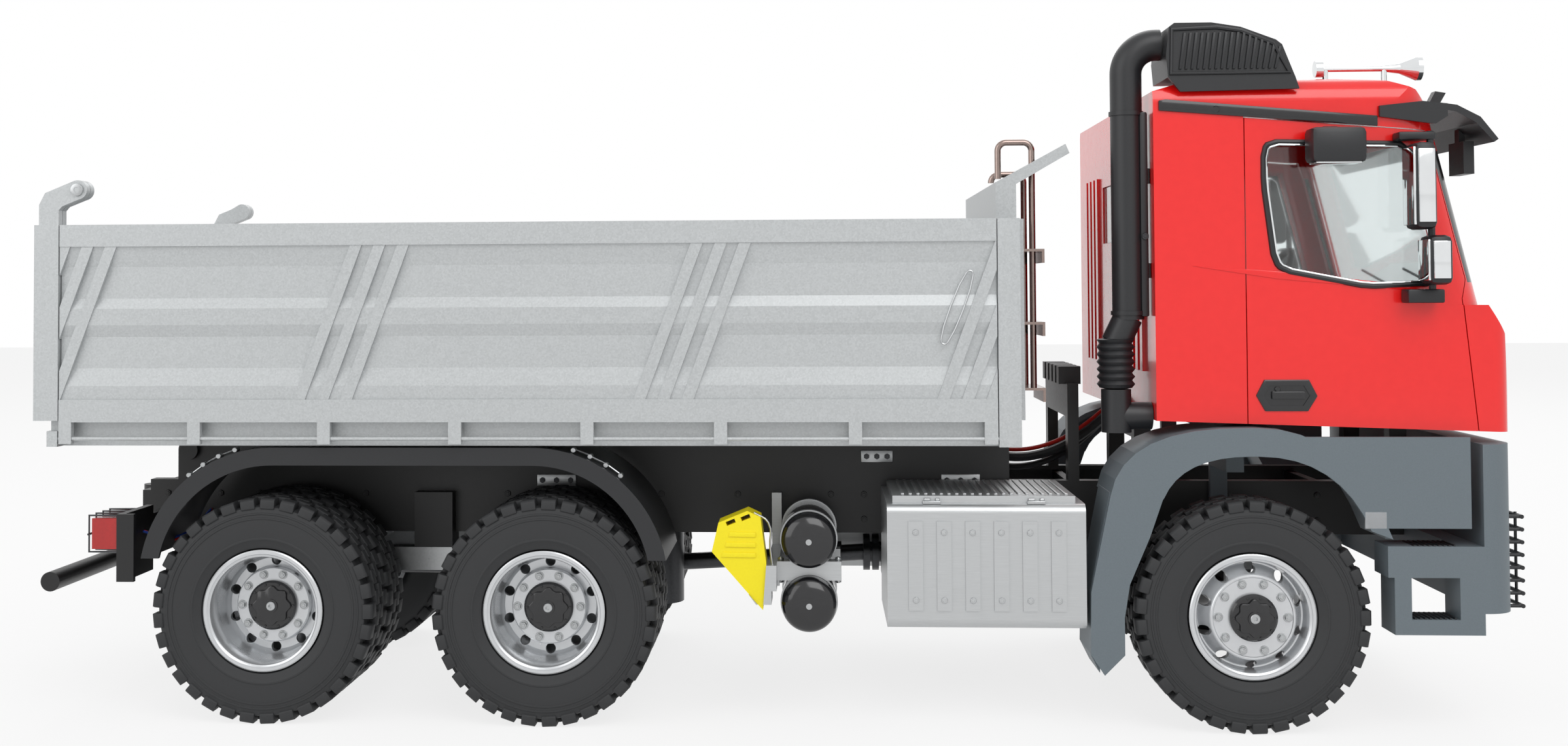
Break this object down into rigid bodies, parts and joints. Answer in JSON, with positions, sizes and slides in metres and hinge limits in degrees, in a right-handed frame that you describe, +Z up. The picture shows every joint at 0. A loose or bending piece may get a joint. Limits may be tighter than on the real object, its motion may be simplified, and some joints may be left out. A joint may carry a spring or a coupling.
{
  "type": "radio-controlled model dump truck",
  "caption": "Scale model of a heavy dump truck with a folding-sided tipping bed, twin rear axles and a day cab with opening doors.",
  "frame": {"origin": "on the ground, at the middle of the whole length and width", "axes": "+X forward, +Y to the truck's left, +Z up"},
  "size_m": [0.5006, 0.201, 0.235],
  "materials": {
    "chassis_paint": "satin",
    "bare_steel": "satin",
    "aluminium": "satin",
    "bed_paint": "metallic satin",
    "rim_paint": "metallic",
    "tyre": "matte",
    "cab_red": "gloss",
    "grey_plastic": "satin",
    "black_plastic": "satin",
    "dark_gloss": "gloss",
    "glazing": "clear",
    "lens_red": "clear",
    "lens_clear": "clear",
    "chock_yellow": "satin",
    "chrome": "polished",
    "cable_black": "satin"
  },
  "bodies": {
    "chassis": {"frame_rails": "chassis_paint", "subframe": "chassis_paint", "driveline": "bare_steel", "axles": "chassis_paint", "leaf_springs": "bare_steel", "mudguards": "black_plastic", "rear_underrun": "chassis_paint", "rear_lamps": "lens_red", "air_tanks": "chassis_paint", "tank_brackets": "aluminium", "wheel_chocks": "chock_yellow", "toolbox": "aluminium", "fuel_tank": "aluminium", "front_fenders": "grey_plastic", "entry_steps": "grey_plastic", "bumper": "grey_plastic", "head_lamps": "lens_clear", "lamp_guards": "black_plastic", "cab_shell": "cab_red", "cab_glass": "glazing", "cab_interior": "dark_gloss", "front_grille": "black_plastic", "sun_visor": "black_plastic", "front_mirrors": "black_plastic", "roof_intake": "black_plastic", "snorkel": "black_plastic", "air_horn": "chrome", "cab_support": "chassis_paint", "cab_cables": "cable_black"},
    "tie_rod": {"tie_rod": "bare_steel"},
    "knuckle_left": {"knuckle_left": "chassis_paint"},
    "wheel_front_left": {"tyre_front_left": "tyre", "rim_front_left": "rim_paint"},
    "wheels_middle_left": {"tyres_middle_left": "tyre", "rims_middle_left": "rim_paint"},
    "wheels_rear_left": {"tyres_rear_left": "tyre", "rims_rear_left": "rim_paint"},
    "knuckle_right": {"knuckle_right": "chassis_paint"},
    "wheel_front_right": {"tyre_front_right": "tyre", "rim_front_right": "rim_paint"},
    "wheels_middle_right": {"tyres_middle_right": "tyre", "rims_middle_right": "rim_paint"},
    "wheels_rear_right": {"tyres_rear_right": "tyre", "rims_rear_right": "rim_paint"},
    "cylinder_barrel": {"cylinder_barrel": "bare_steel"},
    "cylinder_tube": {"cylinder_tube": "chrome"},
    "cylinder_inner_tube": {"cylinder_inner_tube": "chrome"},
    "cylinder_rod": {"cylinder_rod": "chrome"},
    "bed": {"bed_floor": "bed_paint", "headboard": "bed_paint", "ladder": "bare_steel"},
    "side_gate_left": {"side_gate_left": "bed_paint"},
    "side_gate_right": {"side_gate_right": "bed_paint"},
    "tailgate": {"tailgate": "bed_paint"},
    "door_left": {"door_left": "cab_red", "door_glass_left": "glazing", "mirrors_left": "black_plastic"},
    "door_right": {"door_right": "cab_red", "door_glass_right": "glazing", "mirrors_right": "black_plastic"}
  },
  "joints": [
    {"name": "steer_left", "type": "hinge", "parent": "chassis", "child": "knuckle_left", "pos_m": [0.15975, 0.068, 0.03825], "axis": [0, 0, 1], "range_deg": [-30, 30]},
    {"name": "roll_front_left", "type": "hinge", "parent": "knuckle_left", "child": "wheel_front_left", "pos_m": [0.15975, 0.07635, 0.03825], "axis": [0, 1, 0], "continuous": true},
    {"name": "roll_middle_left", "type": "hinge", "parent": "chassis", "child": "wheels_middle_left", "pos_m": [-0.07525, 0.0641, 0.03825], "axis": [0, 1, 0], "continuous": true},
    {"name": "roll_rear_left", "type": "hinge", "parent": "chassis", "child": "wheels_rear_left", "pos_m": [-0.17175, 0.0641, 0.03825], "axis": [0, 1, 0], "continuous": true},
    {"name": "steer_right", "type": "hinge", "parent": "chassis", "child": "knuckle_right", "pos_m": [0.15975, -0.068, 0.03825], "axis": [0, 0, 1], "range_deg": [-30, 30]},
    {"name": "roll_front_right", "type": "hinge", "parent": "knuckle_right", "child": "wheel_front_right", "pos_m": [0.15975, -0.07635, 0.03825], "axis": [0, 1, 0], "continuous": true},
    {"name": "roll_middle_right", "type": "hinge", "parent": "chassis", "child": "wheels_middle_right", "pos_m": [-0.07525, -0.0641, 0.03825], "axis": [0, 1, 0], "continuous": true},
    {"name": "roll_rear_right", "type": "hinge", "parent": "chassis", "child": "wheels_rear_right", "pos_m": [-0.17175, -0.0641, 0.03825], "axis": [0, 1, 0], "continuous": true},
    {"name": "tie_rod_slide", "type": "slide", "parent": "chassis", "child": "tie_rod", "axis": [0, 1, 0], "range_m": [-0.0076, 0.0076]},
    {"name": "bed_tip", "type": "hinge", "parent": "chassis", "child": "bed", "pos_m": [-0.21675, 0, 0.088], "axis": [0, -1, 0], "range_deg": [0, 45]},
    {"name": "barrel_tilt", "type": "hinge", "parent": "chassis", "child": "cylinder_barrel", "pos_m": [-0.04525, 0, 0.064], "axis": [0, -1, 0], "range_deg": [0, 20]},
    {"name": "tube_slide", "type": "slide", "parent": "cylinder_barrel", "child": "cylinder_tube", "axis": [0, 0, 1], "range_m": [0, 0.0435]},
    {"name": "inner_tube_slide", "type": "slide", "parent": "cylinder_tube", "child": "cylinder_inner_tube", "axis": [0, 0, 1], "range_m": [0, 0.0435]},
    {"name": "rod_slide", "type": "slide", "parent": "cylinder_inner_tube", "child": "cylinder_rod", "axis": [0, 0, 1], "range_m": [0, 0.0435]},
    {"name": "tailgate_swing", "type": "hinge", "parent": "bed", "child": "tailgate", "pos_m": [-0.23515, 0, 0.182], "axis": [0, 1, 0], "range_deg": [0, 75]},
    {"name": "side_gate_left_fold", "type": "hinge", "parent": "bed", "child": "side_gate_left", "pos_m": [-0.08225, 0.09, 0.097], "axis": [-1, 0, 0], "range_deg": [0, 180]},
    {"name": "side_gate_right_fold", "type": "hinge", "parent": "bed", "child": "side_gate_right", "pos_m": [-0.08225, -0.09, 0.097], "axis": [1, 0, 0], "range_deg": [0, 180]},
    {"name": "door_left_swing", "type": "hinge", "parent": "chassis", "child": "door_left", "pos_m": [0.23505, 0.0833, 0.15], "axis": [0, 0, -1], "range_deg": [0, 70]},
    {"name": "door_right_swing", "type": "hinge", "parent": "chassis", "child": "door_right", "pos_m": [0.23505, -0.0833, 0.15], "axis": [0, 0, 1], "range_deg": [0, 70]}
  ],
  "couplings": [
    {"joint": "steer_right", "follows": "steer_left", "ratio": 1},
    {"joint": "tie_rod_slide", "follows": "steer_left", "m_per_rad": -0.0143},
    {"joint": "barrel_tilt", "follows": "bed_tip", "ratio": 0.437},
    {"joint": "tube_slide", "follows": "bed_tip", "m_per_rad": 0.0549},
    {"joint": "inner_tube_slide", "follows": "bed_tip", "m_per_rad": 0.0549},
    {"joint": "rod_slide", "follows": "bed_tip", "m_per_rad": 0.0549}
  ]
}
